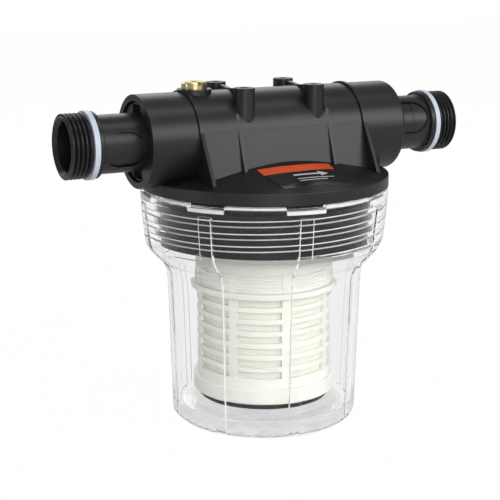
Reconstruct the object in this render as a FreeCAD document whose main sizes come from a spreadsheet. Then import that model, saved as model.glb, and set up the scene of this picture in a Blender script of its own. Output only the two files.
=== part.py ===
"""Inline water filter for a caravan or garden pump.

A moulded head carries a threaded nipple on each side, a clear bowl screws onto its skirt from
below, and a washable filter element stands in the bowl.  Row frame: the bowl's foot stands on
z = 0 with its axis on Z, and the cross pipe runs along X, inlet at -X.  Millimetres.
"""
import FreeCAD, Part
import math
import os

import Sketcher
from FreeCAD import Placement, Rotation, Vector

DIMENSIONS = {
    # head
    "rim_height": 129.0,            # underside of the head's flange above the foot of the bowl
    "pipe_rise": 27.3,              # pipe axis above the underside of the flange
    "pipe_radius": 24.2,
    "socket_end": 74.5,             # end face of each pipe socket, from the middle
    "socket_mouth_radius": 20.9,
    "socket_floor": 56.0,
    "waterway_radius": 15.5,
    "flange_radius": 66.9,
    "flange_thickness": 6.5,
    "lid_neck_radius": 27.0,
    "lid_rise": 9.6,                # height of the sloping top of the lid
    "housing_half_length": 48.0,
    "panel_slope": 15.0,            # lean of the housing's side panels, in degrees
    "panel_inset": 0.04,            # how far the panels lie inside the plane that touches the pipe
    "ring_rib_radius": 25.2,
    "ring_rib_thickness": 1.9,
    "panel_rib_place": 26.4,
    "panel_rib_thickness": 1.7,
    "boss_radius": 5.45,
    "boss_spacing_long": 41.0,
    "boss_spacing_wide": 34.0,
    "boss_rise": 26.6,              # tops of the screw bosses above the pipe axis
    "boss_hole_radius": 2.1,
    "boss_hole_depth": 14.0,
    "web_thickness": 2.3,           # cross webs between the screw bosses
    "bleed_place": -41.0,
    "bleed_boss_radius": 9.0,
    "bleed_boss_rise": 25.5,
    "skirt_radius": 55.6,
    "skirt_bore": 51.0,
    "skirt_depth": 28.9,
    "spigot_radius": 33.0,
    "spigot_bore": 27.0,
    "spigot_depth": 26.0,
    "chamber_radius": 19.5,
    "cavity_rise": 2.0,             # underside of the lid's roof above the rim
    "spigot_seat": 2.5,             # how far the spigot's plate is let into the roof
    # bowl thread
    "thread_pitch": 6.4,
    "thread_crest": 58.0,
    "thread_start": 24.45,          # lowest turn of the head's thread below the rim
    # nipples
    "nipple_end": 113.9,
    "nipple_radius": 15.0,
    "nipple_bore": 12.9,
    "nipple_mouth": 14.4,          # bevelled mouth of the bore at the threaded end
    "nipple_collar": 19.3,
    "nipple_collar_end": 70.0,
    "nipple_cheek": 20.4,           # round cheek that closes the socket's mouth
    "nipple_cheek_end": 73.2,
    "spanner_slot_width": 11.0,
    "spanner_slot_reach": 19.2,
    "spanner_slot_depth": 2.6,
    "nipple_flange": 17.0,          # flange that backs the washer
    "nipple_thread_radius": 16.62,  # 33.25 mm pipe thread, 11 threads to the inch
    "nipple_thread_root": 15.2,
    "nipple_thread_pitch": 2.309,
    "nipple_thread_start": 102.5,
    "nipple_pilot": 15.9,
    "pad_depth": 0.8,
    "pad_step": 0.25,               # extra depth of the inner part of each grip pad
    "pad_half_width": 9.0,
    "pad_start": 82.7,
    "pad_end": 86.8,
    "washer_radius": 17.5,
    "washer_thickness": 2.7,
    "washer_gap": 0.3,
    # bleed screw
    "bleed_head_radius": 6.65,
    "bleed_head_height": 3.7,
    "bleed_shank_radius": 4.9,
    "bleed_shank_length": 9.5,
    "bleed_slot_width": 1.7,
    "bleed_slot_depth": 1.7,
    "bleed_cord": 0.75,
    # bowl
    "bowl_rim_gap": 2.1,
    "bowl_bore": 58.5,
    "bowl_thread_crest": 56.3,
    "bowl_body_top": 52.7,
    "bowl_body_foot": 50.5,
    "bowl_wall": 3.1,
    "bowl_floor": 9.5,
    "bowl_corner": 6.0,
    "bowl_foot_bore": 41.0,
    "bowl_pad_radius": 37.0,
    "collar_foot": 46.0,            # where the wide threaded collar ends, below the rim
    "bowl_rib_width": 7.6,
    "bowl_rib_proud": 1.2,
    "rim_notch_width": 20.6,
    "rim_notch_depth": 2.4,
    "grip_turn": -9.0,              # first grip rib, from -Y towards +X, in degrees
    # element
    "neck_radius": 36.7,
    "neck_bore": 34.0,
    "neck_top": 14.0,
    "neck_ridge": 0.7,
    "disc_radius": 39.9,
    "disc_top": 51.8,
    "disc_foot": 54.9,
    "cage_wall": 1.9,
    "cage_foot": 104.7,
    "slot_height": 3.9,
    "slot_pitch": 6.5,
    "slot_first": 58.1,
    "bar_width": 4.6,
    "cap_radius": 38.9,
    "cap_foot": 112.75,
    "foot_ring_radius": 35.5,
    "foot_ring_bore": 29.0,
    "foot_ring_foot": 116.2,
    "mesh_radius": 34.6,
    "mesh_thickness": 0.5,
    "core_wall": 1.6,
    # label
    "label_thickness": 0.3,
}
RIM = "dims.rim_height"
AXIS = RIM + " + dims.pipe_rise"
GRIP_COUNT = 8
SLOT_ROWS = 7
ALONG = {
    "x": Rotation(Vector(0, 1, 0), 90),
    "z": Rotation(),
}

doc = FreeCAD.newDocument("inline_water_filter")
pieces = []


def make_sheet():
    """Write the driving dimensions as cells with aliases."""
    sheet = doc.addObject("Spreadsheet::Sheet", "dims")
    for row, (alias, value) in enumerate(DIMENSIONS.items(), start=1):
        sheet.set(f"A{row}", alias)
        sheet.set(f"B{row}", str(value))
        sheet.setAlias(f"B{row}", alias)
    doc.recompute()
    return sheet


def size(alias):
    """The present value of a cell, for the shapes that take no expressions."""
    return float(sheet.get(alias))


def bind(thing, at=("0", "0", "0"), **expressions):
    """Bind properties and the three parts of the placement to expressions."""
    for name, expression in expressions.items():
        thing.setExpression(name, expression)
    for letter, expression in zip("xyz", at):
        thing.setExpression(f"Placement.Base.{letter}", expression)
    return thing


def cylinder(name, radius, height, at=("0", "0", "0"), along="z"):
    thing = doc.addObject("Part::Cylinder", name)
    thing.Placement.Rotation = ALONG[along]
    return bind(thing, at, Radius=radius, Height=height)


def cone(name, low_radius, high_radius, height, at):
    thing = doc.addObject("Part::Cone", name)
    return bind(thing, at, Radius1=low_radius, Radius2=high_radius, Height=height)


def block(name, length, width, height, at):
    thing = doc.addObject("Part::Box", name)
    return bind(thing, at, Length=length, Width=width, Height=height)


def ring(name, ring_radius, cord_radius, at, along="z"):
    """An O-ring."""
    thing = doc.addObject("Part::Torus", name)
    thing.Placement.Rotation = ALONG[along]
    return bind(thing, at, Radius1=ring_radius, Radius2=cord_radius)


def fuse(name, *shapes):
    thing = doc.addObject("Part::MultiFuse", name)
    thing.Shapes = list(shapes)
    return thing


def cut(name, base, *tools):
    thing = doc.addObject("Part::Cut", name)
    thing.Base = base
    thing.Tool = tools[0] if len(tools) == 1 else fuse(name + "_tools", *tools)
    return thing


def rounded(name, base, radius, edges):
    """Round some edges of a primitive, given by number."""
    doc.recompute()
    thing = doc.addObject("Part::Fillet", name)
    thing.Base = base
    thing.Edges = [(edge, radius, radius) for edge in edges]
    return thing


def outline_sketch(sketch, outline):
    """A closed outline of straight lines; each corner is a pair of expressions."""
    count = len(outline)
    start = [Vector(100 * math.cos(2 * math.pi * i / count), 100 * math.sin(2 * math.pi * i / count), 0)
             for i in range(count)]
    for i in range(count):
        sketch.addGeometry(Part.LineSegment(start[i], start[(i + 1) % count]), False)
    for i in range(count):
        sketch.addConstraint(Sketcher.Constraint("Coincident", i, 2, (i + 1) % count, 1))
    for i, corner in enumerate(outline):
        for kind, expression in zip(("DistanceX", "DistanceY"), corner):
            at = getattr(start[i], kind[-1].lower())
            index = sketch.addConstraint(Sketcher.Constraint(kind, -1, 1, i, 1, at))
            sketch.setExpression(f"Constraints[{index}]", expression)


def origin_plane(body, role):
    return next(plane for plane in body.Origin.OriginFeatures if plane.Role == role)


def turned(name, outline, at=("0", "0", "0"), along="z"):
    """A body of revolution; the outline's corners are (radius, distance along the axis)."""
    body = doc.addObject("PartDesign::Body", name)
    sketch = body.newObject("Sketcher::SketchObject", name + "_outline")
    sketch.AttachmentSupport = [(origin_plane(body, "XZ_Plane"), "")]
    sketch.MapMode = "FlatFace"
    outline_sketch(sketch, outline)
    turn = body.newObject("PartDesign::Revolution", name + "_turn")
    turn.Profile = sketch
    turn.ReferenceAxis = (sketch, ["V_Axis"])
    turn.Angle = 360
    body.Placement.Rotation = ALONG[along]
    return bind(body, at)


def plate(name, outline, thickness, place):
    """A flat rib across the pipe; the outline's corners are (y, z) and place is its middle in x."""
    body = doc.addObject("PartDesign::Body", name)
    sketch = body.newObject("Sketcher::SketchObject", name + "_outline")
    sketch.AttachmentSupport = [(origin_plane(body, "YZ_Plane"), "")]
    sketch.MapMode = "FlatFace"
    outline_sketch(sketch, outline)
    pad = body.newObject("PartDesign::Pad", name + "_pad")
    pad.Profile = sketch
    pad.Midplane = True
    pad.setExpression("Length", thickness)
    return bind(body, (place, "0", "0"))


def thread_ridge(name, root, crest, root_width, crest_width, start, turns):
    """One helical ridge about Z, right-handed, starting on +X at height start."""
    path = doc.addObject("Part::Helix", name + "_path")
    bind(path, ("0", "0", start), Pitch="dims.thread_pitch", Radius=root,
         Height=f"dims.thread_pitch * {turns}")
    section = doc.addObject("Sketcher::SketchObject", name + "_section")
    section.Placement.Rotation = Rotation(Vector(1, 0, 0), 90)
    bind(section, ("0", "0", start))
    outline_sketch(section, [(root, f"{-root_width / 2}"), (crest, f"{-crest_width / 2}"),
                             (crest, f"{crest_width / 2}"), (root, f"{root_width / 2}")])
    ridge = doc.addObject("Part::Sweep", name)
    ridge.Sections = [section]
    ridge.Spine = (path, ["Edge1"])
    ridge.Solid = True
    ridge.Frenet = True
    return ridge


def piece(label, thing):
    """Name a finished sub-part."""
    thing.Label = label
    pieces.append(thing)
    return thing


def angles_around(count, first):
    """Angles about Z in degrees, evenly spaced; angle 0 faces -Y."""
    return [first + 360.0 * i / count for i in range(count)]


def upright_bar(name, width, depth, low, high, angle):
    """A bar that stands on a circle about Z, facing outwards; depth is (inner, outer) radius."""
    bar = doc.addObject("Part::Box", name)
    bar.setExpression("Length", width)
    bar.setExpression("Width", f"{depth[1]} - ({depth[0]})")
    bar.setExpression("Height", f"{high} - ({low})")
    side, out = f"({width}) / 2", f"({depth[1]})"
    turn = f"{angle} deg"
    bar.Placement.Rotation = Rotation(Vector(0, 0, 1), angle)
    return bind(bar, (f"-({side}) * cos({turn}) + {out} * sin({turn})",
                      f"-({side}) * sin({turn}) - {out} * cos({turn})", low))


def turned_copy(name, thing, angle, height="0"):
    """The same shape turned about Z and lifted."""
    copy = doc.addObject("Part::Compound", name)
    copy.Links = [thing]
    copy.Placement.Rotation = Rotation(Vector(0, 0, 1), angle)
    return bind(copy, ("0", "0", height))


# ---------------------------------------------------------------------------------------- head
def lid_solid():
    """Round flange with the sloping top of the lid on it."""
    flange = rounded("flange", cylinder("flange_disc", "dims.flange_radius", "dims.flange_thickness",
                                        ("0", "0", RIM)), 0.7, (1, 3))
    top = cone("lid_top", "dims.flange_radius - 0.7", "dims.lid_neck_radius", "dims.lid_rise",
               ("0", "0", RIM + " + dims.flange_thickness"))
    return fuse("lid_solid", flange, top)


def make_pipe():
    """Cross pipe, and the housing whose side panels run down from it almost at a tangent."""
    pipe = rounded("pipe", cylinder("pipe_tube", "dims.pipe_radius", "2 * dims.socket_end",
                                    ("-dims.socket_end", "0", AXIS), "x"), 1.6, (1, 3))
    slope, reach = "dims.panel_slope * 1 deg", "(dims.pipe_radius - dims.panel_inset)"
    top_y = f"{reach} * cos({slope})"
    top_z = f"dims.pipe_rise + {reach} * sin({slope})"
    foot_y = f"{top_y} + ({top_z} - 5.5) * tan({slope})"
    housing = plate("housing", rib_outline([(top_y, top_z), (foot_y, "5.5")]),
                    "2 * dims.housing_half_length", "0")
    return pipe, housing


def rib_outline(edge):
    """Mirror one edge, corners (y, z) from top to foot, into a closed outline."""
    right = [(y, f"{RIM} + {z}") for y, z in edge]
    left = [(f"-({y})", z) for y, z in reversed(right)]
    return right + left


def make_ribs():
    """Two ring ribs at the ends of the housing and two panel ribs between them."""
    ring_edge = [("16", "47.0"), ("24.9", "32.4"), ("31.7", "20.8"), ("39.0", "8.2"), ("39.0", "5.5")]
    panel_edge = [("18.0", "44.0"), ("20.6", "41.0"), ("25.4", "28.3"), ("31.4", "11.8"), ("31.4", "5.5")]
    for side in (-1, 1):
        place = f"{side} * dims.housing_half_length"
        yield cylinder(f"ring_rib_{side + 1}", "dims.ring_rib_radius", "dims.ring_rib_thickness",
                       (f"{place} - dims.ring_rib_thickness / 2", "0", AXIS), "x")
        yield plate(f"ring_rib_flare_{side + 1}", rib_outline(ring_edge), "dims.ring_rib_thickness", place)
        yield plate(f"panel_rib_{side + 1}", rib_outline(panel_edge), "dims.panel_rib_thickness",
                    f"{side} * dims.panel_rib_place")


def boss_places():
    for along in (-1, 1):
        for across in (-1, 1):
            yield f"{along} * dims.boss_spacing_long / 2", f"{across} * dims.boss_spacing_wide / 2"


def make_bosses():
    """Four screw bosses, the webs that join them over the crown, and the boss of the bleed screw."""
    for i, (x, y) in enumerate(boss_places()):
        yield cylinder(f"screw_boss_{i}", "dims.boss_radius", "dims.boss_rise", (x, y, AXIS))
    web_edge = [("0.8", "52.1"), ("4.0", "52.5"), ("15.0", "53.5"), ("15.0", "45.0")]
    for side in (-1, 1):
        yield plate(f"boss_web_{side + 1}", rib_outline(web_edge), "dims.web_thickness",
                    f"{side} * dims.boss_spacing_long / 2")
    yield cylinder("bleed_boss", "dims.bleed_boss_radius", "dims.bleed_boss_rise",
                   ("dims.bleed_place", "0", AXIS))


def make_waterways():
    """The bores and ports that run through the cross pipe and the lid's roof."""
    yield cylinder("inlet_way", "dims.waterway_radius", "30", ("-dims.socket_floor - 1", "0", AXIS), "x")
    yield cylinder("outlet_way", "dims.waterway_radius", "dims.socket_floor + 5", ("-4", "0", AXIS), "x")
    yield block("inlet_port", "12.5", "24", "dims.pipe_rise - 1", ("-48", "-12", RIM + " + 1"))
    yield cylinder("outlet_port", "dims.chamber_radius", "dims.pipe_rise - 1", ("0", "0", RIM + " + 1"))


def make_pipe_cutters():
    """The sockets and the screw holes of the cross pipe."""
    yield socket_cutter(-1)
    yield socket_cutter(1)
    yield cylinder("bleed_hole", "dims.bleed_shank_radius + 0.1", "dims.bleed_boss_rise + 1",
                   ("dims.bleed_place", "0", AXIS))
    yield cylinder("bleed_seat", "dims.bleed_head_radius - 0.05", "3",
                   ("dims.bleed_place", "0", AXIS + " + dims.bleed_boss_rise - 1.5"))
    for i, (x, y) in enumerate(boss_places()):
        yield cylinder(f"boss_hole_{i}", "dims.boss_hole_radius", "dims.boss_hole_depth + 1",
                       (x, y, AXIS + " + dims.boss_rise - dims.boss_hole_depth"))


def socket_cutter(side):
    """The hollow of one pipe socket, with ring ridges that stand for its female thread."""
    mouth, crest = "dims.socket_mouth_radius", "dims.nipple_collar + 0.3"
    outline = [("0", "dims.socket_floor"), (mouth, "dims.socket_floor")]
    for i in reversed(range(4)):
        middle = f"dims.nipple_collar_end - 1.6 - {i} * dims.nipple_thread_pitch"
        outline += [(mouth, middle + " - 0.9"), (crest, middle + " - 0.2"), (crest, middle + " + 0.2"),
                    (mouth, middle + " + 0.9")]
    outline += [(mouth, "dims.socket_end + 1"), ("0", "dims.socket_end + 1")]
    hollow = turned(f"socket_{side + 1}", outline, ("0", "0", AXIS), "x")
    if side < 0:
        hollow.Placement.Rotation = Rotation(Vector(0, 1, 0), -90)
    return hollow


def make_spigot():
    """Tube for the element's neck, with the groove of its seal and a plate let into the roof."""
    low, roof, top = "-dims.spigot_depth", "dims.cavity_rise", "dims.cavity_rise + dims.spigot_seat"
    bore, out, port = "dims.spigot_bore", "dims.spigot_radius", "dims.chamber_radius"
    groove = "dims.spigot_radius - 1.65"
    piece("spigot_tube", turned("spigot_tube", [
        (bore, low), (out + " - 0.8", low), (out, low + " + 0.8"), (out, low + " + 3.6"),
        (groove, low + " + 3.6"), (groove, low + " + 6.6"), (out, low + " + 6.6"), (out, top), (port, top),
        (port, roof), (bore, roof)], ("0", "0", RIM)))


def make_skirt():
    """Threaded skirt under the flange."""
    foot = RIM + " - dims.skirt_depth"
    wall = cylinder("skirt_wall", "dims.skirt_radius", "dims.skirt_depth", ("0", "0", foot))
    bore = cylinder("skirt_bore", "dims.skirt_bore", "dims.skirt_depth + 2", ("0", "0", foot + " - 1"))
    thread = thread_ridge("head_thread", "dims.skirt_radius - 0.2", "dims.thread_crest", 3.2, 2.6,
                          RIM + " - dims.thread_start", 2.9)
    piece("head_skirt", cut("head_skirt", fuse("skirt_threaded", wall, thread), bore))


def make_head():
    """The head's moulding in the four pieces that it is built from: lid, skirt, spigot and cross pipe."""
    lid = lid_solid()
    roof = cylinder("lid_cavity", "dims.skirt_bore", "dims.cavity_rise + 1", ("0", "0", RIM + " - 1"))
    seat = cylinder("spigot_seat", "dims.spigot_radius", "dims.spigot_seat + 1",
                    ("0", "0", RIM + " + dims.cavity_rise - 1"))
    waterways = list(make_waterways())
    piece("head_lid", cut("head_lid", lid, roof, seat, *waterways))
    pipe = fuse("pipe_solid", *make_pipe(), *make_ribs(), *make_bosses())
    piece("cross_pipe", cut("cross_pipe", pipe, lid, *waterways, *make_pipe_cutters()))
    make_skirt()
    make_spigot()


# ------------------------------------------------------------------------------ bleed and label
def make_bleed():
    seat = AXIS + " + dims.bleed_boss_rise"
    screw = turned("bleed_turned", [
        ("0", "-dims.bleed_shank_length"), ("dims.bleed_shank_radius - 0.8", "-dims.bleed_shank_length"),
        ("dims.bleed_shank_radius", "-dims.bleed_shank_length + 0.8"), ("dims.bleed_shank_radius", "0.15"),
        ("dims.bleed_head_radius", "0.15"), ("dims.bleed_head_radius", "dims.bleed_head_height - 0.7"),
        ("dims.bleed_head_radius - 0.7", "dims.bleed_head_height"), ("0", "dims.bleed_head_height")],
        ("dims.bleed_place", "0", seat))
    slot = block("bleed_slot", "dims.bleed_slot_width", "20", "dims.bleed_slot_depth + 1",
                 ("dims.bleed_place - dims.bleed_slot_width / 2", "-10",
                  seat + " + dims.bleed_head_height - dims.bleed_slot_depth"))
    piece("bleed_screw", cut("bleed_screw", screw, slot))
    cord = "dims.bleed_cord"
    piece("bleed_seal", ring("bleed_seal", f"dims.bleed_shank_radius + {cord} + 0.1", cord,
                             ("dims.bleed_place", "0", f"{seat} - {cord} + 0.05")))


def make_label():
    """Thin label on the sloping top of the lid, cut to a shield outline."""
    slope_foot = RIM + " + dims.flange_thickness"
    skin = cone("label_skin", "dims.flange_radius - 0.7", "dims.lid_neck_radius", "dims.lid_rise",
                ("0", "0", slope_foot + " + dims.label_thickness"))
    under = cone("label_under", "dims.flange_radius - 0.7", "dims.lid_neck_radius", "dims.lid_rise",
                 ("0", "0", slope_foot))
    outline = [(-21.5, -32.3), (0.0, -33.9), (21.3, -32.1), (20.1, -40.0), (17.8, -59.6), (-19.5, -58.2)]
    low, high = size("rim_height"), 30.0
    sheet_wire = Part.makePolygon([Vector(x, y, low) for x, y in outline + outline[:1]])
    prism = doc.addObject("Part::Feature", "label_prism")
    prism.Shape = Part.Face(sheet_wire).extrude(Vector(0, 0, high))
    common = doc.addObject("Part::Common", "label_common")
    common.Base = skin
    common.Tool = prism
    piece("label_plate", cut("label_plate", common, under))


# -------------------------------------------------------------------------------------- nipples
def collar_outline():
    """Inner end of a nipple: pilot for the O-ring, threaded collar and the cheek in the socket's mouth."""
    floor, collar, cheek = "dims.socket_floor", "dims.nipple_collar", "dims.nipple_cheek"
    outline = [("dims.nipple_bore", floor + " + 0.4"), ("dims.nipple_pilot", floor + " + 0.4"),
               ("dims.nipple_pilot", floor + " + 3.2"), (collar + " - 0.9", floor + " + 3.2")]
    for i in reversed(range(4)):
        middle = f"dims.nipple_collar_end - 2.75 - {i} * dims.nipple_thread_pitch"
        outline += [(collar + " - 0.9", middle + " - 0.9"), (collar, middle + " - 0.25"),
                    (collar, middle + " + 0.25"), (collar + " - 0.9", middle + " + 0.9")]
    return outline + [(collar + " - 0.9", "dims.nipple_collar_end"), (cheek, "dims.nipple_collar_end"),
                      (cheek, "dims.nipple_cheek_end - 0.5"), (cheek + " - 0.5", "dims.nipple_cheek_end"),
                      ("dims.nipple_radius", "dims.nipple_cheek_end")]


def nipple_outline():
    """Outline of a nipple along its axis, from the inner end to the threaded end."""
    start, pitch = "dims.nipple_thread_start", "dims.nipple_thread_pitch"
    root, crest = "dims.nipple_thread_root", "dims.nipple_thread_radius"
    neck, flange = "dims.nipple_radius", "dims.nipple_flange"
    seat = start + " - dims.washer_gap - dims.washer_thickness"
    outline = collar_outline() + [
        (neck, start + " - 6.3"), (neck + " + 0.4", start + " - 5.9"),
        (flange + " - 0.4", start + " - 5.7"), (flange, start + " - 5.3"),
        (flange, seat), (root, seat), (root, start + " + 0.55")]
    for i in range(5):
        middle = f"{start} + 1.2 + {i} * {pitch}"
        outline += [(crest, middle + " - 0.25"), (crest, middle + " + 0.25")]
        if i < 4:
            outline.append((root, f"{middle} + {pitch} / 2"))
    return outline + [(root, "dims.nipple_end - 0.4"), (root + " - 0.4", "dims.nipple_end"),
                      ("dims.nipple_mouth", "dims.nipple_end"),
                      ("dims.nipple_bore", "dims.nipple_end - 2.2")]


def pad_cutter(name, turn):
    """Shallow round-ended grip pad on the nipple's neck; its inner part is cut a step deeper."""
    start, end, half = size("pad_start"), size("pad_end"), size("pad_half_width")
    reach, floor = size("nipple_radius") + 2, size("nipple_radius") - size("pad_depth")
    straight = Part.makeBox(end - start, 2 * half, reach, Vector(start, -half, 0))
    inner_end = Part.makeCylinder(half, reach, Vector(start, 0, 0))
    outer_end = Part.makeCylinder(half, reach, Vector(end, 0, 0))
    outline = straight.fuse([inner_end, outer_end]).removeSplitter()
    reach_x, along = 4 * half, Vector(1, 0, 0)
    core = Part.makeCylinder(floor, reach_x, Vector(end, 0, 0), along)
    step_core = Part.makeCylinder(floor - size("pad_step"), reach_x, Vector(end - reach_x, 0, 0), along)
    shape = outline.cut(core.fuse(step_core))
    shape.rotate(Vector(0, 0, 0), Vector(1, 0, 0), 90 + turn)
    cutter = doc.addObject("Part::Feature", name)
    cutter.Shape = shape
    return cutter


def spanner_slots(name):
    """A slot above and one below the neck, sunk into the face of the nipple's cheek."""
    width, reach, depth = "dims.spanner_slot_width", "dims.spanner_slot_reach", "dims.spanner_slot_depth"
    start = f"dims.nipple_cheek_end - {depth}"
    slab = block(f"{name}_slab", depth + " + 1", width, "2 * " + reach, (start, f"-{width} / 2", "-" + reach))
    neck = cylinder(f"{name}_neck", "dims.nipple_radius + 0.05", depth + " + 3",
                    (start + " - 1", "0", "0"), "x")
    return cut(name, slab, neck)


def make_nipple(end, facing, pad_turn):
    """One threaded nipple with its washer and O-ring; facing turns the +X form about Z."""
    nipple = cut(f"{end}_nipple_made", turned(f"{end}_nipple_turned", nipple_outline(), along="x"),
                 pad_cutter(f"{end}_pad_front", pad_turn), pad_cutter(f"{end}_pad_back", pad_turn + 180),
                 spanner_slots(f"{end}_spanner_slots"))
    face = "dims.nipple_thread_start - dims.washer_gap"
    washer = turned(f"{end}_washer_made", [
        ("dims.nipple_thread_root + 0.1", face + " - dims.washer_thickness"),
        ("dims.washer_radius", face + " - dims.washer_thickness"),
        ("dims.washer_radius", face), ("dims.nipple_thread_root + 0.1", face)], along="x")
    seal = ring(f"{end}_oring_made", "dims.nipple_pilot + 1.45", "1.3",
                ("dims.socket_floor + 1.75", "0", "0"), "x")
    for label, made in (("nipple", nipple), ("washer", washer), ("oring", seal)):
        piece(f"{end}_{label}", turned_copy(f"{end}_{label}", made, facing, AXIS))


# ----------------------------------------------------------------------------------------- bowl
def bowl_outline():
    """Half section of the bowl from the rim down the outside and up the inside."""
    rim = RIM + " - dims.bowl_rim_gap"
    foot_bore = "dims.bowl_body_foot - dims.bowl_wall"
    groove = "dims.bowl_bore + 0.9"
    return [
        (groove, rim), (groove, rim + " - 1.1"), ("dims.bowl_bore + 4.2", rim + " - 1.1"),
        ("dims.bowl_bore + 4.2", rim), ("66.2", rim), ("66.8", rim + " - 0.8"),
        ("66.2", RIM + " - 13"), ("65.4", RIM + " - 20"), ("64.9", RIM + " - 26"), ("63.8", RIM + " - 30"),
        ("62.0", RIM + " - 33.4"), ("58.2", RIM + " - 37.4"), ("55.0", RIM + " - 40.6"),
        ("53.4", RIM + " - 44"), ("dims.bowl_body_top", RIM + " - 50"), ("dims.bowl_body_foot", "3"),
        ("dims.bowl_body_foot", "0"), ("dims.bowl_foot_bore", "0"), ("dims.bowl_foot_bore - 1.2", "1.2"),
        ("0", "1.2"), ("0", "dims.bowl_floor + 1.2"), ("24", "dims.bowl_floor + 1.2"),
        ("24", RIM + " - dims.foot_ring_foot"),
        ("dims.bowl_pad_radius", RIM + " - dims.foot_ring_foot"),
        ("dims.bowl_pad_radius", "dims.bowl_floor"),
        (foot_bore + " - 3", "dims.bowl_floor"), (foot_bore, "dims.bowl_floor + 3"),
        ("dims.bowl_body_top - dims.bowl_wall", RIM + " - 50"), ("50.2", RIM + " - 44"),
        ("51.6", RIM + " - 40"), ("58.0", RIM + " - 32.8"), ("dims.bowl_bore", RIM + " - 31.2"),
        ("dims.bowl_bore", rim),
    ]


def grip_outline():
    """Side view of one grip rib, which follows the bowl's wall; corners are (-radius, height)."""
    proud = "dims.bowl_rib_proud"
    outer = [("66.2", "- 7"), (f"66.2 + {proud}", "- 8.4"), (f"66.1 + {proud}", "- 13"),
             (f"65.3 + {proud}", "- 20"), (f"64.8 + {proud}", "- 26"), (f"63.7 + {proud}", "- 30.2"),
             (f"61.9 + {proud}", "- 33.9"), (f"58.1 + {proud}", "- 38"), (f"54.9 + {proud}", "- 41.2"),
             (f"53.3 + {proud}", "- 44.4"), (f"dims.bowl_body_top + {proud}", "- 50"),
             (f"51 + {proud}", "- 112"), ("50.2", "- 122")]
    inner = [("49", "- 122"), ("51", "- 50"), ("51.6", "- 44"), ("60.6", "- 33"), ("61.6", "- 30"),
             ("62.5", "- 7")]
    return [(f"-({radius})", f"{RIM} {drop}") for radius, drop in outer + inner]


def round_foot(name, base):
    """Round the bowl's outer bottom corner."""
    doc.recompute()
    foot = size("bowl_body_foot")
    edges = [i for i, edge in enumerate(base.Shape.Edges, start=1)
             if abs(edge.BoundBox.ZMax) < 1e-4 and abs(edge.BoundBox.XMax - foot) < 1e-3]
    thing = doc.addObject("Part::Fillet", name)
    thing.Base = base
    thing.Edges = [(edge, size("bowl_corner"), size("bowl_corner")) for edge in edges]
    return thing


def make_bowl():
    """The clear bowl, one moulding in two pieces: the threaded collar and the cup below it."""
    shell = round_foot("bowl_rounded", turned("bowl_shell", bowl_outline()))
    grip = plate("grip", grip_outline(), "dims.bowl_rib_width", "0")
    angles = angles_around(GRIP_COUNT, size("grip_turn"))
    grips = [turned_copy(f"grip_{i}", grip, angle) for i, angle in enumerate(angles)]
    notches = [upright_bar(f"notch_{i}", "dims.rim_notch_width", ("63.6", "75"),
                           RIM + " - dims.bowl_rim_gap - dims.rim_notch_depth", RIM + " + 5", angle)
               for i, angle in enumerate(angles)]
    body = cut("bowl_notched", shell, *notches)
    thread = thread_ridge("bowl_thread", "dims.bowl_bore + 0.2", "dims.bowl_thread_crest", 2.8, 2.2,
                          RIM + " - dims.thread_start - dims.thread_pitch / 2", 3.25)
    whole = fuse("bowl_whole", body, *grips, thread)
    above = cylinder("bowl_above", "80", "80", ("0", "0", RIM + " - dims.collar_foot"))
    collar = doc.addObject("Part::Common", "bowl_collar")
    collar.Base, collar.Tool = whole, above
    piece("bowl_collar", collar)
    piece("bowl", cut("bowl_cup", whole, above))
    piece("bowl_seal", ring("bowl_seal", "dims.bowl_bore + 2.55", "1.5", ("0", "0", RIM + " - 1.66")))


# -------------------------------------------------------------------------------------- element
def make_top_cap():
    """Ridged neck and flange disc of the element."""
    wall, bore = "dims.neck_radius", "dims.neck_bore"
    ridge = "dims.neck_radius + dims.neck_ridge"
    outline = [(bore + " + 0.8", "-dims.neck_top"), (wall, "-dims.neck_top"), (wall, "-40.4")]
    for i in range(5):
        middle = -41.4 - 2.2 * i
        outline += [(wall, f"{middle + 0.65}"), (ridge, f"{middle + 0.35}"), (ridge, f"{middle - 0.35}"),
                    (wall, f"{middle - 0.65}")]
    outline += [(wall, "-dims.disc_top"), ("dims.disc_radius", "-dims.disc_top"),
                ("dims.disc_radius", "-dims.disc_foot"), (bore, "-dims.disc_foot"),
                (bore, "-dims.neck_top - 0.8")]
    bars = [upright_bar(f"neck_bar_{i}", "dims.bar_width", (wall + " - 1.5", ridge),
                        RIM + " - dims.disc_top", RIM + " - 40.2", angle)
            for i, angle in enumerate(angles_around(GRIP_COUNT, size("grip_turn")))]
    cap = turned("top_cap_turned", outline, ("0", "0", RIM))
    piece("element_top_cap", fuse("element_top_cap", cap, *bars))


def slot_cutters(name, inner, outer, bar):
    """One cutter for each row: a flat ring with an uncut sector at each upright bar."""
    for row in range(SLOT_ROWS):
        middle = f"{RIM} - dims.slot_first - {row} * dims.slot_pitch"
        low = middle + " - dims.slot_height / 2"
        disc = cylinder(f"{name}_disc_{row}", outer, "dims.slot_height", ("0", "0", low))
        bore = cylinder(f"{name}_bore_{row}", inner, "dims.slot_height + 2", ("0", "0", low + " - 1"))
        bars = [upright_bar(f"{name}_bar_{row}_{i}", bar, ("20", "50"), low + " - 1",
                            low + " + dims.slot_height + 1", angle)
                for i, angle in enumerate(angles_around(GRIP_COUNT, size("grip_turn")))]
        yield cut(f"{name}_cutter_{row}", disc, bore, *bars)


def make_tube(name, outer, wall):
    """Plain tube between the two caps of the element."""
    return turned(name, [(f"{outer} - ({wall})", "-dims.cage_foot"), (outer, "-dims.cage_foot"),
                         (outer, "-dims.disc_foot"), (f"{outer} - ({wall})", "-dims.disc_foot")],
                  ("0", "0", RIM))


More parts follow.
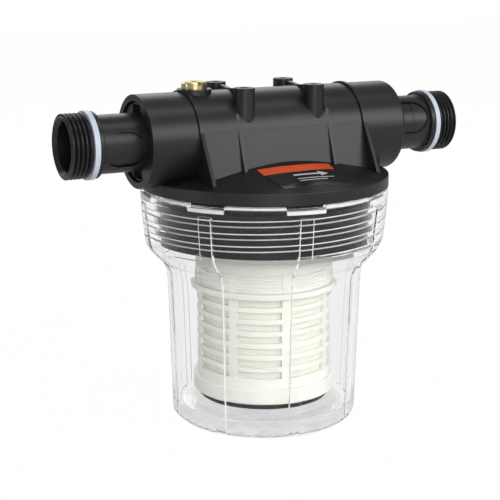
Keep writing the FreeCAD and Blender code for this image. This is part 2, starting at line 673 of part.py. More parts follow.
def make_element():
    make_top_cap()
    cage = make_tube("cage_tube", "dims.neck_radius", "dims.cage_wall")
    slots = slot_cutters("cage", "dims.mesh_radius", "dims.disc_radius", "dims.bar_width")
    piece("element_cage", cut("element_cage", cage, *slots))
    piece("element_mesh", make_tube("element_mesh", "dims.mesh_radius", "dims.mesh_thickness"))
    core = make_tube("core_tube", "dims.mesh_radius - dims.mesh_thickness - 0.1", "dims.core_wall")
    piece("element_core", cut("element_core", core, *slot_cutters(
        "core", "dims.mesh_radius - dims.core_wall - 2", "dims.mesh_radius", "dims.bar_width")))
    piece("element_bottom_cap", turned("element_bottom_cap", [
        ("0", "-dims.cage_foot"), ("dims.cap_radius - 0.5", "-dims.cage_foot"),
        ("dims.cap_radius", "-dims.cage_foot - 0.5"), ("dims.cap_radius", "-dims.cap_foot + 0.6"),
        ("dims.cap_radius - 0.6", "-dims.cap_foot"), ("24", "-dims.cap_foot"),
        ("22", "-dims.cage_foot - 3"), ("0", "-dims.cage_foot - 3")], ("0", "0", RIM)))
    piece("element_foot_ring", turned("element_foot_ring", [
        ("dims.foot_ring_bore", "-dims.foot_ring_foot"), ("dims.foot_ring_radius", "-dims.foot_ring_foot"),
        ("dims.foot_ring_radius", "-dims.cap_foot"), ("dims.foot_ring_bore", "-dims.cap_foot")],
        ("0", "0", RIM)))
    piece("element_top_seal", ring("element_top_seal", "dims.spigot_radius - 0.33", "1.28",
                                   ("0", "0", RIM + " - dims.spigot_depth + 5.1")))


# --------------------------------------------------------------------------------------- export
def check_and_export():
    """Stop on any failed object, then write every sub-part."""
    failed = [thing.Name for thing in doc.Objects if {"Invalid", "Error"} & set(thing.State)]
    if failed:
        raise RuntimeError(f"failed objects: {failed}")
    os.makedirs("parts", exist_ok=True)
    for thing in pieces:
        shape = thing.Shape
        if shape.isNull() or not shape.isValid() or not shape.Solids:
            raise RuntimeError(f"bad shape: {thing.Label}")
        shape.exportStep(f"parts/{thing.Label}.step")
        print(f"{thing.Label}: {len(shape.Solids)} solid(s), {shape.Volume / 1000:.2f} cm3")


sheet = make_sheet()
make_head()
make_bleed()
make_label()
make_nipple("inlet", 180, -8)
make_nipple("outlet", 0, -20)
make_bowl()
make_element()
doc.recompute()
check_and_export()
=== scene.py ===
"""Looks of the inline water filter: clear bowl, black head and nipples, cream element, studio."""
import math

import bmesh
import bpy
import numpy as np
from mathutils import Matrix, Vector


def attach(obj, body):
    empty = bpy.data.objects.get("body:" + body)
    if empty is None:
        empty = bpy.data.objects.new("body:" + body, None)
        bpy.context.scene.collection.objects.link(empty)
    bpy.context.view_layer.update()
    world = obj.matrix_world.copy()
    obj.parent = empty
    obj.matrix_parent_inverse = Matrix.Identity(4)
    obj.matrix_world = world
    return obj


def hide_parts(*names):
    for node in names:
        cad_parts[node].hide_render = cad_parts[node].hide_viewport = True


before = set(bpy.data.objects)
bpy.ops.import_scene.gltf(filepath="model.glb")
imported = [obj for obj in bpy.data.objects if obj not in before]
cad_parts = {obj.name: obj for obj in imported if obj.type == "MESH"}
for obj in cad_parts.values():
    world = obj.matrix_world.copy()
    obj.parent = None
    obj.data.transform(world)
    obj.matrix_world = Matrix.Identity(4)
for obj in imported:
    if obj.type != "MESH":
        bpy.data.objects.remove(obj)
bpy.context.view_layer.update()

MM = 0.001

# ------------------------------------------------------------------ places, in millimetres
RIM = 129.0                              # underside of the head's flange
PITCH = 6.4                              # thread between the bowl and the head
BOWL_BORE = 58.5

# Label: the lid's sloping top, the label on it and the print on the label.
LID_EDGE_R, LID_EDGE_RISE = 66.2, 6.5    # outer edge of the slope, above the flange's underside
LID_RUN, LID_RISE = 39.2, 9.6
LABEL_THICK = 0.3
FILM_TOP, FILM_FOOT = 0.05, -0.06        # the print stands on the label and is sunk a little into it

# Bowl: rim, grips, notches and foot.
BOWL_TOP = RIM - 2.1                     # face that holds the seal
LIP = RIM - 0.9                          # top of the outer lip between the notches
LIP_RISE = (63.5, 63.6)                  # radii where the lip starts to rise and is up
RIM_R = 66.0
BAND_FOOT, BAND_HEIGHT = RIM - 8.0, 5.9  # band under the rim that is stretched up to the lip
GROOVE = (59.4, 62.7)                    # radii of the seal's groove
GROOVE_DEPTH = 1.1
GRIPS = 8
GRIP_STEP = 360.0 / GRIPS                # degrees between grips
GRIP_TURN = -9.0                         # first grip, from -Y towards +X, degrees
GRIP_PROUD, GRIP_FLANK = 1.0, 0.6        # height of a grip, and width of its sloping side
GRIP_HALF, GRIP_FLARE = 3.15, 0.65       # half width on the body, and what the collar adds
GRIP_FLARE_RISE = 8.0                    # height over which it widens
GRIP_TOP, GRIP_TOP_FADE = RIM - 6.4, 1.2
GRIP_FOOT, GRIP_FOOT_FADE = 1.5, 5.0
NOTCH_HALF, NOTCH_DROP = 10.3, 1.9       # the rim is lower above each grip
NOTCH_FLANK = 0.3
COLLAR_FOOT = RIM - 30.0                 # the wide part of the bowl ends here
SHOULDER_FOOT = RIM - 44.0               # and has narrowed to the body here
FOOT_R, FOOT_ROUND = 44.5, 6.0

# Bowl: outlines as (radius, height); the outer one is measured from the rim.
OUTER = [(66.2, -2.1), (66.8, -3.0), (66.75, -3.8), (66.7, -4.7), (66.6, -6.4), (66.57, -7.0),
         (66.53, -7.6), (66.2, -13), (65.4, -20), (64.9, -26), (63.9, -30), (62.0, -33.4),
         (58.2, -37.4), (55.0, -40.6), (53.4, -44), (52.7, -50)]
FOOT = [(FOOT_R, 0.0), (41.0, 0.0), (39.8, 1.2), (30.0, 1.2), (15.0, 1.2), (0.001, 1.2)]
INNER = [(BOWL_BORE, RIM - 31.0), (58.0, RIM - 33.0), (51.6, RIM - 40.2), (50.2, RIM - 44),
         (49.6, RIM - 50), (47.4, 13.0)]
FLOOR = [(47.4, 13.0), (47.0, 9.5), (37.4, 9.5), (37.0, 12.8), (24.2, 12.8), (24.0, 10.7),
         (12.0, 10.7), (0.001, 10.7)]

# Bowl: female thread.
THREAD_WALL_FOOT = RIM - 31.0            # the wall that carries the thread starts here
THREAD_START, THREAD_END = RIM - 27.65, RIM - 6.85
THREAD_TURN = 90.0                       # angle at which the thread starts, degrees
THREAD_DEPTH, THREAD_HALF, THREAD_FLANK = 2.2, 1.42, 0.3
RUN_OUT = 0.8                            # half of the height over which the thread fades out
ROWS_PER_PITCH = 32

# Bowl: lines of painted highlight, each as (middle, half width).
COLLAR_HIGHLIGHT, BODY_HIGHLIGHT = (3.45, 0.22), (3.1, 0.16)      # beside the middle of a grip
THREAD_HIGHLIGHTS = (1.6, 0.31), (-1.12, 0.21)               # above the middle of the thread's crest
RIM_HIGHLIGHT_FOOT, NOTCH_HIGHLIGHT_DROP = RIM - 2.9, 1.1              # foot of the line along the rim

# Bowl: angles of its corners in degrees, where the columns of the mesh stand close together.
GRIP_CORNER, NOTCH_CORNER = 3.35, 8.98
CORNER_SHIFTS = np.linspace(-0.9, 0.9, 13)
COLUMN_STEP = 1.0                        # between columns elsewhere
HALF_QUAD = 0.07                         # from a column to the middle of the quad beside it

# Studio: places in metres and angles in degrees.
LIT_POINT = (0, 0, 0.12)
FLOOR_HALF = 3.0
FLOOR_GLOW = 0.99                        # share of plain white in the floor as the camera sees it
CAMERA_PLACE = (-0.3281, -0.62425, (RIM + 128.43) * MM)
CAMERA_TILT, CAMERA_TURN = 13.23, -27.11                # down, and to the right
CAMERA_LENS, CAMERA_SENSOR = 95.4, 36.0

CLEAR_IOR = 1.3
STILL_IOR = 1.01                         # bends almost no light, so that the foot mirrors nothing


# ------------------------------------------------------------------------- mesh helpers
def new_piece(name, verts, faces, materials, body, smooth_angle=35.0, marks=None):
    """A mesh object from points in millimetres that rides on a body; marks are its faces' materials."""
    mesh = bpy.data.meshes.new(name)
    mesh.from_pydata([tuple(MM * c for c in v) for v in verts], [], faces)
    for made in materials:
        mesh.materials.append(made)
    if marks:
        mesh.polygons.foreach_set("material_index", marks)
    bm = bmesh.new()
    bm.from_mesh(mesh)
    bmesh.ops.remove_doubles(bm, verts=bm.verts, dist=2e-6)
    bmesh.ops.dissolve_degenerate(bm, edges=bm.edges, dist=1e-7)
    bmesh.ops.recalc_face_normals(bm, faces=bm.faces)
    bm.to_mesh(mesh)
    bm.free()
    mesh.shade_smooth()
    mesh.set_sharp_from_angle(angle=math.radians(smooth_angle))
    piece = bpy.data.objects.new(name, mesh)
    bpy.context.scene.collection.objects.link(piece)
    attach(piece, body)
    return piece


def compass(theta, radius):
    """x and y of a place on a circle; 0 degrees faces -Y and 90 faces +X."""
    turn = np.radians(theta)
    return radius * np.sin(turn), -radius * np.cos(turn)


def grid_faces(rows, columns, highlight_and_foot_marks, seam_shift=0, first=0):
    """Quads of a grid of points stored row by row, closed round with an optional shift of rows at the
    seam, and the material index of each, its first corner's mark (1 painted highlight, 2 frosted foot)."""
    faces, marks = [], []
    for i in range(rows - 1):
        for j in range(columns):
            if j + 1 < columns:
                a, b = (i, j + 1), (i + 1, j + 1)
            else:
                a = (min(i + seam_shift, rows - 1), 0)
                b = (min(i + 1 + seam_shift, rows - 1), 0)
            quad = [(i, j), a, b, (i + 1, j)]
            index = [first + row * columns + column for row, column in quad]
            if len(set(index)) > 2:
                faces.append(list(dict.fromkeys(index)))
                marks.append(int(highlight_and_foot_marks[i, j]))
    return faces, marks


class Surface:
    """Collects grids of points that are later merged into one closed mesh."""

    def __init__(self):
        self.verts = []
        self.faces = []
        self.marks = []

    def grid(self, thetas, radii, heights, seam_shift=0, highlight_and_foot_marks=None):
        """radii and heights are arrays of rows by columns; the last argument marks quads by their first
        corner:
        0 for clear, 1 for a line of painted highlight and 2 for the frosted foot."""
        rows, columns = radii.shape
        highlight_and_foot_marks = np.zeros(radii.shape, bool) if highlight_and_foot_marks is None else highlight_and_foot_marks
        x, y = compass(thetas[None, :], radii)
        points = np.stack([x, y, np.broadcast_to(heights, radii.shape)], axis=-1).reshape(-1, 3)
        faces, marks = grid_faces(rows, columns, highlight_and_foot_marks, seam_shift, len(self.verts))
        self.faces += faces
        self.marks += marks
        self.verts += points.tolist()


def smoothstep(value):
    """0 to 1 with soft ends."""
    value = np.clip(value, 0.0, 1.0)
    return value * value * (3.0 - 2.0 * value)


def rounded_profile(corners, radius, steps=5):
    """Round each inner corner of an open (radius, height) line with a small arc."""
    points = [np.array(corners[0], float)]
    for before, corner, after in zip(corners, corners[1:-1], corners[2:]):
        before, corner, after = (np.array(p, float) for p in (before, corner, after))
        into, out = before - corner, after - corner
        reach = min(radius, 0.45 * np.linalg.norm(into), 0.45 * np.linalg.norm(out))
        start = corner + into / np.linalg.norm(into) * reach
        end = corner + out / np.linalg.norm(out) * reach
        for k in range(steps + 1):
            t = k / steps
            points.append((1 - t) ** 2 * start + 2 * t * (1 - t) * corner + t * t * end)
    points.append(np.array(corners[-1], float))
    return np.array(points)


def split_last_leg(points, count):
    """The same line with its last leg cut into count - 1 equal parts."""
    start, end = points[-2], points[-1]
    return [*points[:-1], *(start + (end - start) * t for t in np.linspace(0, 1, count)[1:])]


def turned(profile, thetas):
    """Radii and heights of a (radius, height) line at every column, as arrays of rows by columns."""
    ones = np.ones((1, len(thetas)))
    return profile[:, :1] * ones, profile[:, 1:] * ones


def on_line(distance, line):
    """Whether a distance lies on a line, given as (middle, half width)."""
    middle, half = line
    return np.abs(distance - middle) < half


# ------------------------------------------------------------------------------- materials
def material(name):
    """A new material, its node tree and its shader."""
    made = bpy.data.materials.new(name)
    made.use_nodes = True
    tree = made.node_tree
    return made, tree, tree.nodes["Principled BSDF"]


def node(tree, kind, **values):
    """A shader node with its properties and inputs set by name."""
    made = tree.nodes.new(kind)
    for key, value in values.items():
        if hasattr(made, key):
            setattr(made, key, value)
        else:
            made.inputs[key.replace("_", " ")].default_value = value
    return made


def maths(tree, operation, *values):
    """Output of a math node whose inputs are sockets or plain floats."""
    made = node(tree, "ShaderNodeMath", operation=operation)
    for socket, value in zip(made.inputs, values):
        if isinstance(value, float):
            socket.default_value = value
        else:
            tree.links.new(value, socket)
    return made.outputs["Value"]


def mixed(tree, share, first, second):
    """Mix of two shaders; share is the part that the second one takes."""
    mix = node(tree, "ShaderNodeMixShader")
    for socket, output in zip(mix.inputs, (share, first, second)):
        tree.links.new(output, socket)
    return mix.outputs["Shader"]


def grain(tree, shader, scale, strength, distance=0.0001):
    """Fine moulded grain as a bump; returns the object coordinates for other textures."""
    coordinates = node(tree, "ShaderNodeTexCoord")
    noise = node(tree, "ShaderNodeTexNoise", Scale=scale, Detail=4.0)
    bump = node(tree, "ShaderNodeBump", Strength=strength, Distance=distance)
    tree.links.new(coordinates.outputs["Object"], noise.inputs["Vector"])
    tree.links.new(noise.outputs["Fac"], bump.inputs["Height"])
    tree.links.new(bump.outputs["Normal"], shader.inputs["Normal"])
    return coordinates.outputs["Object"]


def colour_drift(tree, shader, low, high, scale, place):
    """Slow variation between two colours over a place."""
    noise = node(tree, "ShaderNodeTexNoise", Scale=scale, Detail=3.0)
    ramp = node(tree, "ShaderNodeValToRGB")
    ramp.color_ramp.elements[0].color = (*low, 1)
    ramp.color_ramp.elements[1].color = (*high, 1)
    ramp.color_ramp.elements[0].position = 0.35
    ramp.color_ramp.elements[1].position = 0.65
    tree.links.new(place, noise.inputs["Vector"])
    tree.links.new(noise.outputs["Fac"], ramp.inputs["Fac"])
    tree.links.new(ramp.outputs["Color"], shader.inputs["Base Color"])


def black_plastic(name, low, high, gloss):
    """Black moulding with a fine satin grain."""
    made, tree, shader = material(name)
    place = grain(tree, shader, 900.0, 0.2, 0.00012)
    colour_drift(tree, shader, low, high, 60.0, place)
    shader.inputs["Roughness"].default_value = 0.38
    shader.inputs["Specular IOR Level"].default_value = gloss
    return made


def clear_plastic():
    """Clear moulding; rays from lamps pass straight through so that the element is lit."""
    made, tree, shader = material("clear_plastic")
    shader.inputs["Base Color"].default_value = (0.93, 0.935, 0.935, 1)
    shader.inputs["Roughness"].default_value = 0.015
    shader.inputs["IOR"].default_value = CLEAR_IOR
    shader.inputs["Transmission Weight"].default_value = 1.0
    path = node(tree, "ShaderNodeLightPath")
    open_way = node(tree, "ShaderNodeBsdfTransparent")
    open_way.inputs["Color"].default_value = (0.93, 0.94, 0.94, 1)
    out = mixed(tree, path.outputs["Is Shadow Ray"], shader.outputs["BSDF"], open_way.outputs["BSDF"])
    tree.links.new(out, tree.nodes["Material Output"].inputs["Surface"])
    return made


def painted_highlight_and_frost(name, low, high, transmission, ior=CLEAR_IOR):
    """Rough, whitish clear moulding: painted highlight lines along the bowl's edges, and the frosted
    foot.
    """
    made, tree, shader = material(name)
    place = grain(tree, shader, 1200.0, 0.2)
    colour_drift(tree, shader, low, high, 120.0, place)
    shader.inputs["Roughness"].default_value = 0.45
    shader.inputs["Transmission Weight"].default_value = transmission
    shader.inputs["IOR"].default_value = ior
    return made


def cream_plastic():
    """Cream moulding that lets a little light in."""
    made, tree, shader = material("cream_plastic")
    place = grain(tree, shader, 400.0, 0.15)
    colour_drift(tree, shader, (0.87, 0.86, 0.785), (0.91, 0.90, 0.835), 40.0, place)
    shader.inputs["Roughness"].default_value = 0.42
    shader.inputs["Subsurface Weight"].default_value = 0.25
    shader.inputs["Subsurface Radius"].default_value = (1.0, 0.95, 0.8)
    shader.inputs["Subsurface Scale"].default_value = 0.002
    return made


def filter_cloth():
    """Woven cloth: crossed threads as a bump with darker gaps."""
    made, tree, shader = material("filter_cloth")
    coordinates = node(tree, "ShaderNodeTexCoord")
    threads = []
    for direction in ("DIAGONAL", "Z"):
        wave = node(tree, "ShaderNodeTexWave", Scale=420.0, Distortion=0.3)
        wave.bands_direction = direction
        tree.links.new(coordinates.outputs["Object"], wave.inputs["Vector"])
        threads.append(wave.outputs["Fac"])
    weave = maths(tree, "MAXIMUM", *threads)
    ramp = node(tree, "ShaderNodeValToRGB")
    ramp.color_ramp.elements[0].color = (0.72, 0.70, 0.60, 1)
    ramp.color_ramp.elements[1].color = (0.88, 0.86, 0.77, 1)
    bump = node(tree, "ShaderNodeBump", Strength=0.5, Distance=0.0002)
    tree.links.new(weave, ramp.inputs["Fac"])
    tree.links.new(weave, bump.inputs["Height"])
    tree.links.new(ramp.outputs["Color"], shader.inputs["Base Color"])
    tree.links.new(bump.outputs["Normal"], shader.inputs["Normal"])
    shader.inputs["Roughness"].default_value = 0.7
    return made


def rubber():
    """Dull black rubber of the seals."""
    made, tree, shader = material("black_rubber")
    place = grain(tree, shader, 700.0, 0.2)
    colour_drift(tree, shader, (0.010, 0.010, 0.011), (0.018, 0.018, 0.019), 50.0, place)
    shader.inputs["Roughness"].default_value = 0.5
    shader.inputs["Specular IOR Level"].default_value = 0.25
    return made


def washer_plastic():
    """Pale, slightly blue plastic of the flat washers."""
    made, tree, shader = material("white_washer")
    place = grain(tree, shader, 500.0, 0.1)
    colour_drift(tree, shader, (0.55, 0.60, 0.70), (0.62, 0.66, 0.76), 90.0, place)
    shader.inputs["Roughness"].default_value = 0.4
    return made


def brass():
    """Turned brass of the bleed screw."""
    made, tree, shader = material("brass")
    place = grain(tree, shader, 1500.0, 0.12, 0.00005)
    colour_drift(tree, shader, (0.66, 0.53, 0.27), (0.88, 0.77, 0.50), 160.0, place)
    shader.inputs["Metallic"].default_value = 1.0
    shader.inputs["Roughness"].default_value = 0.28
    return made


def label_film(name, low, high):
    """Smooth coated film."""
    made, tree, shader = material(name)
    place = grain(tree, shader, 300.0, 0.05)
    colour_drift(tree, shader, low, high, 70.0, place)
    shader.inputs["Roughness"].default_value = 0.22
    shader.inputs["Coat Weight"].default_value = 0.4
    shader.inputs["Coat Roughness"].default_value = 0.1
    return made


BLACK = black_plastic("black_plastic", (0.007, 0.007, 0.0075), (0.011, 0.011, 0.0115), 0.45)
# painted shade: a darker, duller copy of the black plastic for the skirt and spigot tube inside the bowl
BLACK_SHADED = black_plastic("black_plastic_painted_shade", (0.003, 0.003, 0.003), (0.005, 0.005, 0.005), 0.15)
CLEAR = clear_plastic()
# painted highlight: near-white quads on the grip edges, thread crests, rim edge and notch floors
PAINTED_HIGHLIGHT = painted_highlight_and_frost("painted_highlight_and_frost", (0.90, 0.91, 0.92), (0.96, 0.97, 0.98), 0.1)
FROST_FOOT = painted_highlight_and_frost("frosted_foot", (0.60, 0.61, 0.60), (0.80, 0.80, 0.79), 0.85, STILL_IOR)
CREAM = cream_plastic()
CLOTH = filter_cloth()
RUBBER = rubber()
WASHER = washer_plastic()
BRASS = brass()
LABEL = label_film("label_black", (0.008, 0.008, 0.009), (0.013, 0.013, 0.014))
ORANGE = label_film("label_orange", (0.78, 0.085, 0.02), (0.84, 0.11, 0.03))
PRINT = label_film("label_print", (0.60, 0.60, 0.61), (0.66, 0.66, 0.67))

FINISH = {
    "cross_pipe": BLACK, "head_lid": BLACK, "head_skirt": BLACK_SHADED, "spigot_tube": BLACK_SHADED,
    "inlet_nipple": BLACK, "outlet_nipple": BLACK, "label_plate": LABEL,
    "bleed_screw": BRASS, "bleed_seal": RUBBER, "inlet_washer": WASHER, "outlet_washer": WASHER,
    "inlet_oring": RUBBER, "outlet_oring": RUBBER, "bowl_seal": RUBBER, "element_top_seal": RUBBER,
    "element_top_cap": CREAM, "element_cage": CREAM, "element_core": CREAM,
    "element_bottom_cap": CREAM, "element_mesh": CLOTH, "element_foot_ring": RUBBER,
}


def finish_nodes():
    """Give every node that is shown as it is its material, and round the edges of the head."""
    for name, finish in FINISH.items():
        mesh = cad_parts[name].data
        mesh.materials.clear()
        mesh.materials.append(finish)
    for name in ("cross_pipe", "head_lid"):
        soften_edges(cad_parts[name])


def soften_edges(thing):
    """Small rounds on the sharp edges of a moulding."""
    bevel = thing.modifiers.new("edge_round", "BEVEL")
    bevel.width = 0.45 * MM
    bevel.segments = 2
    bevel.limit_method = "ANGLE"
    bevel.angle_limit = math.radians(40)
    bevel.harden_normals = True


# ----------------------------------------------------------------------------------- label
def lid_height(x, y):
    """Top of the label on the sloping top of the lid."""
    return RIM + LID_EDGE_RISE + (LID_EDGE_R - math.hypot(x, y)) * LID_RISE / LID_RUN + LABEL_THICK


def label_patch(name, corners, finish, steps=(28, 4)):
    """A thin printed patch that follows the lid; corners are (x, y), given round the patch, and steps
    are its squares along and across."""
    low_left, low_right, high_right, high_left = (np.array(c, float) for c in corners)
    along, across = steps
    verts, faces = [], []
    for lift in (FILM_TOP, FILM_FOOT):
        for i in range(along + 1):
            for j in range(across + 1):
                u, v = i / along, j / across
                low = (1 - u) * low_left + u * low_right
                high = (1 - u) * high_left + u * high_right
                x, y = (1 - v) * low + v * high
                verts.append((x, y, lid_height(x, y) + lift))
    row, count = across + 1, (along + 1) * (across + 1)
    for i in range(along):
        for j in range(across):
            quad = [i * row + j, (i + 1) * row + j, (i + 1) * row + j + 1, i * row + j + 1]
            faces += [quad, [count + k for k in reversed(quad)]]
    edge = [i * row for i in range(along + 1)] + [along * row + j for j in range(1, row)]
    edge += [i * row + across for i in reversed(range(along))] + list(reversed(range(1, across)))
    faces += [[a, count + a, count + b, b] for a, b in zip(edge, edge[1:] + edge[:1])]
    new_piece(name, verts, faces, [finish], "head")


def bar(left, right, low, high):
    """Corners of a patch with straight sides."""
    return [(left, low), (right, low), (right, high), (left, high)]


def make_label():
    """Orange band along the top of the label, and a plain flow arrow with two rules under it."""
    label_patch("label_band_left", [(-21.2, -40.4), (-2.0, -41.6), (0.0, -34.1), (-21.3, -32.5)], ORANGE)
    label_patch("label_band_right", [(-2.0, -41.6), (20.0, -39.9), (21.1, -32.3), (0.0, -34.1)], ORANGE)
    label_patch("label_arrow_shaft", bar(-7.0, 8.0, -46.2, -44.8), PRINT, (8, 1))
    label_patch("label_arrow_head", [(8.0, -48.3), (13.0, -45.6), (13.0, -45.4), (8.0, -42.7)],
                PRINT, (4, 4))
    label_patch("label_rule_long", bar(-7.0, 14.0, -50.2, -49.6), PRINT, (12, 1))
    label_patch("label_rule_short", bar(-7.0, 9.0, -52.6, -52.0), PRINT, (12, 1))


# ------------------------------------------------------------------------------------ bowl
def angle_from_grip(thetas):
    """Signed angle to the nearest grip."""
    return (thetas - GRIP_TURN + GRIP_STEP / 2) % GRIP_STEP - GRIP_STEP / 2


def aside_of_grip(thetas, radii):
    """Distance sideways from the middle of the nearest grip, as rows by columns."""
    return np.abs(radii * np.sin(np.radians(angle_from_grip(thetas))[None, :]))


def bowl_columns():
    """Angles of the bowl's columns, close together at the edges of grips and notches."""
    offsets = list(np.arange(-GRIP_STEP / 2, GRIP_STEP / 2, COLUMN_STEP))
    for corner in (GRIP_CORNER, NOTCH_CORNER):
        for side in (-1, 1):
            offsets += [side * corner + shift for shift in CORNER_SHIFTS]
    offsets = np.unique(np.round(offsets, 3))
    return np.concatenate([GRIP_TURN + GRIP_STEP * i + offsets for i in range(GRIPS)])


def outer_profile():
    """Outer wall of the bowl from the rim to the bottom corner."""
    body_foot = (FOOT_R + FOOT_ROUND, FOOT_ROUND)
    wall = rounded_profile([(r, RIM + z) for r, z in OUTER] + [body_foot], radius=3.0, steps=4)
    corner = [(FOOT_R + FOOT_ROUND * math.cos(a), FOOT_ROUND - FOOT_ROUND * math.sin(a))
              for a in np.linspace(0, math.pi / 2, 9)[1:]]
    return np.array([*split_last_leg(wall, count=24), *corner])


def grip_bump(thetas, radii, heights):
    """How far the grips stand out of the wall."""
    half = GRIP_HALF + GRIP_FLARE * smoothstep((heights - SHOULDER_FOOT) / GRIP_FLARE_RISE)
    across = smoothstep((half + GRIP_FLANK / 2 - aside_of_grip(thetas, radii)) / GRIP_FLANK)
    top = smoothstep((GRIP_TOP - heights) / GRIP_TOP_FADE)
    foot = smoothstep((heights - GRIP_FOOT) / GRIP_FOOT_FADE)
    return GRIP_PROUD * across * top * foot


def grip_highlight_quads(thetas, radii, heights):
    """Quads along the two corners of each grip, on the collar and on the body, that carry painted
    highlight lines.
    """
    aside = aside_of_grip(thetas + HALF_QUAD, radii)
    collar = on_line(aside, COLLAR_HIGHLIGHT) & (heights > COLLAR_FOOT) & (heights < GRIP_TOP - 0.5)
    body = on_line(aside, BODY_HIGHLIGHT) & (heights > FOOT_ROUND + 2.0) & (heights < SHOULDER_FOOT)
    return collar | body


def thread_grid(surface, thetas, low, high):
    """Inner wall with the female thread; its rows climb with the thread."""
    step = PITCH / ROWS_PER_PITCH
    rows = int((high - low) / step) + 2 * ROWS_PER_PITCH + 2
    along = (thetas - THREAD_TURN) % 360.0
    order = np.argsort(along)
    along, thetas = along[order], thetas[order]
    first_row = low - PITCH + (THREAD_START - low) % PITCH
    heights = first_row + np.arange(rows)[:, None] * step + PITCH * along[None, :] / 360.0
    phase = np.arange(rows) * step
    above_crest = (phase + PITCH / 2) % PITCH - PITCH / 2
    ridge = THREAD_DEPTH * np.clip((THREAD_HALF - np.abs(above_crest)) / THREAD_FLANK, 0, 1)
    fade = (smoothstep((heights - THREAD_START + RUN_OUT) / (2 * RUN_OUT))
            * smoothstep((THREAD_END - heights + RUN_OUT) / (2 * RUN_OUT)))
    quad_middle = (phase + step / 2 + PITCH / 2) % PITCH - PITCH / 2
    # painted highlight: near-white quads along the thread's crest, in place of its edges catching light
    edges = on_line(quad_middle, THREAD_HIGHLIGHTS[0]) | on_line(quad_middle, THREAD_HIGHLIGHTS[1])
    highlight_and_foot_marks = edges[:, None] & (fade > 0.5) & (heights > low) & (heights < high)
    radii = BOWL_BORE - ridge[:, None] * fade
    surface.grid(thetas, radii, np.clip(heights, low, high), ROWS_PER_PITCH, highlight_and_foot_marks)


def wall_grid(surface, thetas, notch, lip):
    """Outer wall, its rim lowered at the notches; the edges of the rim and of the grips get painted
    highlight lines.
    """
    radii, heights = turned(outer_profile(), thetas)
    rim_highlight = heights > RIM_HIGHLIGHT_FOOT - NOTCH_HIGHLIGHT_DROP * notch[None, :]
    stretched = BAND_FOOT + (heights - BAND_FOOT) * (lip[None, :] - BAND_FOOT) / BAND_HEIGHT
    heights = np.where(heights > BAND_FOOT, stretched, heights)
    radii = radii + grip_bump(thetas, radii, heights)
    surface.grid(thetas, radii, heights, highlight_and_foot_marks=rim_highlight | grip_highlight_quads(thetas, radii, heights))


def rim_grid(surface, thetas, notch, lip):
    """Top of the rim with the groove of the seal; the floors of the notches get a painted highlight."""
    ones = np.ones((1, len(thetas)))
    inner, outer = GROOVE
    face = [(BOWL_BORE, 0.0), (inner, 0.0), (inner, -GROOVE_DEPTH), (outer, -GROOVE_DEPTH), (outer, 0.0),
            (LIP_RISE[0], 0.0)]
    radii = np.array([r for r, _ in face] + [LIP_RISE[1], OUTER[0][0]])[:, None] * ones
    heights = np.vstack([(BOWL_TOP + z) * ones for _, z in face] + [lip[None, :], lip[None, :]])
    highlight_and_foot_marks = np.zeros(radii.shape, int)
    highlight_and_foot_marks[len(face)] = notch > 0.5
    surface.grid(thetas, radii, heights, highlight_and_foot_marks=highlight_and_foot_marks)


def make_bowl():
    """The whole clear bowl as one closed mesh."""
    thetas = bowl_columns()
    surface = Surface()
    notch = smoothstep((NOTCH_HALF + NOTCH_FLANK / 2 - aside_of_grip(thetas, RIM_R)[0]) / NOTCH_FLANK)
    lip = LIP - NOTCH_DROP * notch
    wall_grid(surface, thetas, notch, lip)
    rim_grid(surface, thetas, notch, lip)
    surface.grid(thetas, *turned(np.array(FOOT), thetas), highlight_and_foot_marks=np.full((len(FOOT), len(thetas)), 2))
    inner = split_last_leg(rounded_profile(INNER, radius=2.5, steps=4), count=12)
    floor = rounded_profile(FLOOR, radius=1.2, steps=4)
    surface.grid(thetas, *turned(np.array([*inner, *floor[1:]]), thetas))
    thread_grid(surface, thetas, THREAD_WALL_FOOT, BOWL_TOP)
    bowl = new_piece("clear_bowl", surface.verts, surface.faces, [CLEAR, PAINTED_HIGHLIGHT, FROST_FOOT],
                     "bowl", smooth_angle=30.0, marks=surface.marks)
    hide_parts("bowl", "bowl_collar")


# --------------------------------------------------------------------------------- studio
def in_sight(tree):
    """1 for what the camera sees, plainly or through glass, and 0 for the light that surfaces gather."""
    path = node(tree, "ShaderNodeLightPath")
    unscattered = maths(tree, "LESS_THAN", path.outputs["Diffuse Depth"], 0.5)
    through_glass = maths(tree, "MULTIPLY", unscattered, path.outputs["Is Transmission Ray"])
    return maths(tree, "MAXIMUM", path.outputs["Is Camera Ray"], through_glass)


def make_floor():
    """A wide floor that looks almost pure white and takes only a trace of shadow."""
    made, tree, shader = material("studio_white")
    shader.inputs["Base Color"].default_value = (0.75, 0.75, 0.75, 1)
    shader.inputs["Roughness"].default_value = 0.9
    shader.inputs["Specular IOR Level"].default_value = 0.1
    glow = node(tree, "ShaderNodeEmission", Strength=1.0, Color=(1, 1, 1, 1))
    share = maths(tree, "MULTIPLY", in_sight(tree), FLOOR_GLOW)
    out = mixed(tree, share, shader.outputs["BSDF"], glow.outputs["Emission"])
    tree.links.new(out, tree.nodes["Material Output"].inputs["Surface"])
    half = FLOOR_HALF
    mesh = bpy.data.meshes.new("studio_floor")
    mesh.from_pydata([(-half, -half, 0), (half, -half, 0), (half, half, 0), (-half, half, 0)],
                     [], [(0, 1, 2, 3)])
    mesh.materials.append(made)
    floor = bpy.data.objects.new("studio_floor", mesh)
    bpy.context.scene.collection.objects.link(floor)


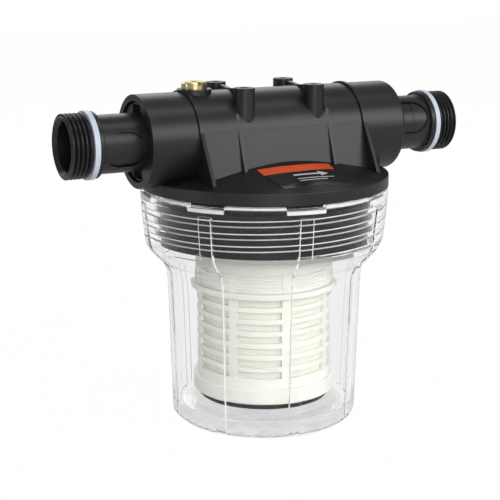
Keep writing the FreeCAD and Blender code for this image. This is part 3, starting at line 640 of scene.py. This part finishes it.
def make_world():
    """Weak cool light from all round, and a plain white backdrop for the camera."""
    world = bpy.data.worlds.new("studio")
    bpy.context.scene.world = world
    world.use_nodes = True
    tree = world.node_tree
    light = tree.nodes["Background"]
    light.inputs["Color"].default_value = (0.96, 0.98, 1.0, 1)
    light.inputs["Strength"].default_value = 0.25
    backdrop = node(tree, "ShaderNodeBackground", Strength=1.0, Color=(1, 1, 1, 1))
    out = mixed(tree, in_sight(tree), light.outputs["Background"], backdrop.outputs["Background"])
    tree.links.new(out, tree.nodes["World Output"].inputs["Surface"])


def area_light(name, place, size, power):
    """A rectangular lamp that points at the filter; size is (width, height)."""
    lamp = bpy.data.lights.new(name, "AREA")
    lamp.shape = "RECTANGLE"
    lamp.size, lamp.size_y = size
    lamp.energy = power
    made = bpy.data.objects.new(name, lamp)
    bpy.context.scene.collection.objects.link(made)
    made.location = place
    made.rotation_euler = (Vector(LIT_POINT) - Vector(place)).to_track_quat("-Z", "Y").to_euler()


def make_lights():
    """A soft key from the front right, strips that draw the edges of the black head, and two fills."""
    area_light("key_light", (0.75, -1.15, 0.75), (0.9, 0.7), 9)
    area_light("left_strip", (-1.3, 0.1, 0.35), (0.15, 1.2), 2.5)
    area_light("top_strip", (0.0, -0.25, 1.4), (1.4, 0.25), 4)
    area_light("front_light", (-0.4, -1.35, 0.5), (0.6, 0.8), 7)
    area_light("back_light", (0.2, 1.2, 0.8), (1.4, 0.7), 6)


def set_bounces():
    """Enough reflections inside the thick clear walls."""
    cycles = bpy.context.scene.cycles
    cycles.max_bounces = 24
    cycles.transmission_bounces = 24
    cycles.glossy_bounces = 16


def make_camera():
    """A long lens that looks a little down on the filter from the front left."""
    data = bpy.data.cameras.new("camera")
    data.lens = CAMERA_LENS
    data.sensor_width = CAMERA_SENSOR
    camera = bpy.data.objects.new("camera", data)
    camera.location = CAMERA_PLACE
    camera.rotation_euler = (math.radians(90 - CAMERA_TILT), 0, math.radians(CAMERA_TURN))
    bpy.context.scene.collection.objects.link(camera)
    bpy.context.scene.camera = camera


def main():
    """Build the looks, the studio and the camera."""
    finish_nodes()
    make_bowl()
    make_label()
    make_floor()
    make_world()
    make_lights()
    make_camera()
    set_bounces()
    bpy.context.scene.view_settings.view_transform = "Standard"


main()
